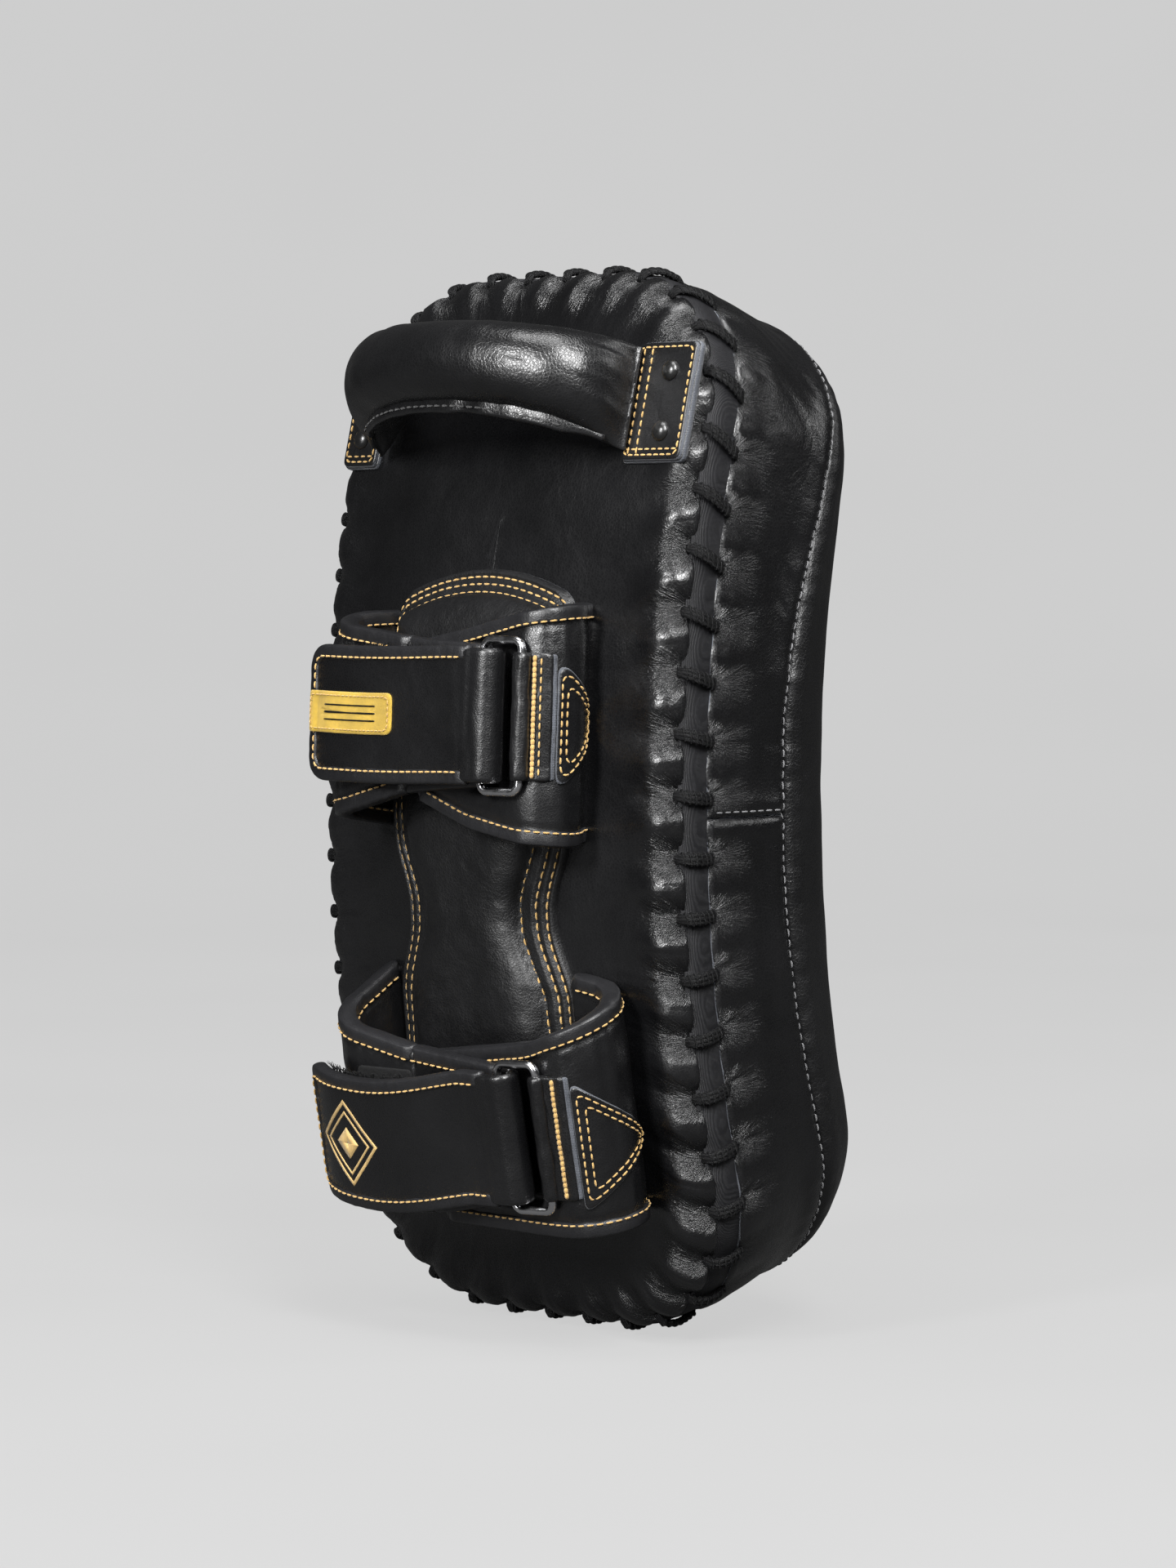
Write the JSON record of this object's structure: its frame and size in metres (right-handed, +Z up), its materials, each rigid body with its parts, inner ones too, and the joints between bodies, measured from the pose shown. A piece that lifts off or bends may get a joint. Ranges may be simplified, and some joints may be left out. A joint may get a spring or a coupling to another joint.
{
  "type": "thai kick pad",
  "caption": "Curved, laced leather kick pad with a padded grab handle, a waisted forearm pad and a pair of strap cuffs closed by wire rings.",
  "frame": {"origin": "middle of the pad's footprint: centre of the bounding box in X and Y, at its lowest point", "axes": "+Z up along the length of the pad (handle end up); -Y towards the holder (handle and cuffs), +Y towards the strike face; +X to the right as the holder looks at the back, which is the ring side of the cuffs"},
  "size_m": [0.2056, 0.162, 0.4071],
  "materials": {
    "pad_leather": "grained, semi-gloss",
    "strap_leather": "smooth, glossy",
    "tape": "woven, matte",
    "cord": "waxed cord",
    "foam": "closed-cell foam, matte",
    "wire": "polished steel wire",
    "rivet": "black domed head",
    "hook_loop": "hook-and-loop pile",
    "label": "satin woven, plain"
  },
  "bodies": {
    "pad": {"back_panel": "pad_leather", "lacing_tape": "tape", "upper_gusset": "pad_leather", "lower_gusset": "pad_leather", "strike_face_panel": "pad_leather", "back_foam": "foam", "core_foam": "foam", "strike_foam": "foam", "forearm_pad_cover": "pad_leather", "forearm_pad_foam": "foam", "handle_core": "foam", "handle_sleeve": "pad_leather", "handle_tab_right": "pad_leather", "handle_tab_left": "pad_leather", "handle_rivets": "rivet", "upper_ring_wing": "pad_leather", "upper_ring_wing_binding": "strap_leather", "upper_strap_wing": "pad_leather", "upper_strap_wing_binding": "strap_leather", "lower_ring_wing": "pad_leather", "lower_ring_wing_binding": "strap_leather", "lower_strap_wing": "pad_leather", "lower_strap_wing_binding": "strap_leather", "upper_ring_keeper": "strap_leather", "upper_ring_patch": "pad_leather", "upper_strap_inner": "strap_leather", "upper_loop_patch": "hook_loop", "lower_ring_keeper": "strap_leather", "lower_ring_patch": "pad_leather", "lower_strap_inner": "strap_leather", "lower_loop_patch": "hook_loop", "lacing_cord": "cord"},
    "upper_ring": {"upper_ring": "wire"},
    "upper_tail": {"upper_strap_fold": "strap_leather", "upper_strap_tail": "strap_leather", "upper_hook_patch": "hook_loop", "upper_label": "label"},
    "lower_ring": {"lower_ring": "wire"},
    "lower_tail": {"lower_strap_fold": "strap_leather", "lower_strap_tail": "strap_leather", "lower_hook_patch": "hook_loop"}
  },
  "joints": [
    {"name": "upper_ring_pivot", "type": "hinge", "parent": "pad", "child": "upper_ring", "pos_m": [0.053, -0.07168, 0.23729], "axis": [0, 0.0489, 0.9988], "range_deg": [0, 35]},
    {"name": "upper_tail_peel", "type": "hinge", "parent": "upper_ring", "child": "upper_tail", "pos_m": [0.03517, -0.07417, 0.23741], "axis": [0, 0.0489, 0.9988], "range_deg": [0, 145]},
    {"name": "lower_ring_pivot", "type": "hinge", "parent": "pad", "child": "lower_ring", "pos_m": [0.059, -0.06643, 0.08169], "axis": [0, -0.1754, 0.9845], "range_deg": [0, 35]},
    {"name": "lower_tail_peel", "type": "hinge", "parent": "lower_ring", "child": "lower_tail", "pos_m": [0.04119, -0.06899, 0.08123], "axis": [0, -0.1754, 0.9845], "range_deg": [0, 145]}
  ]
}
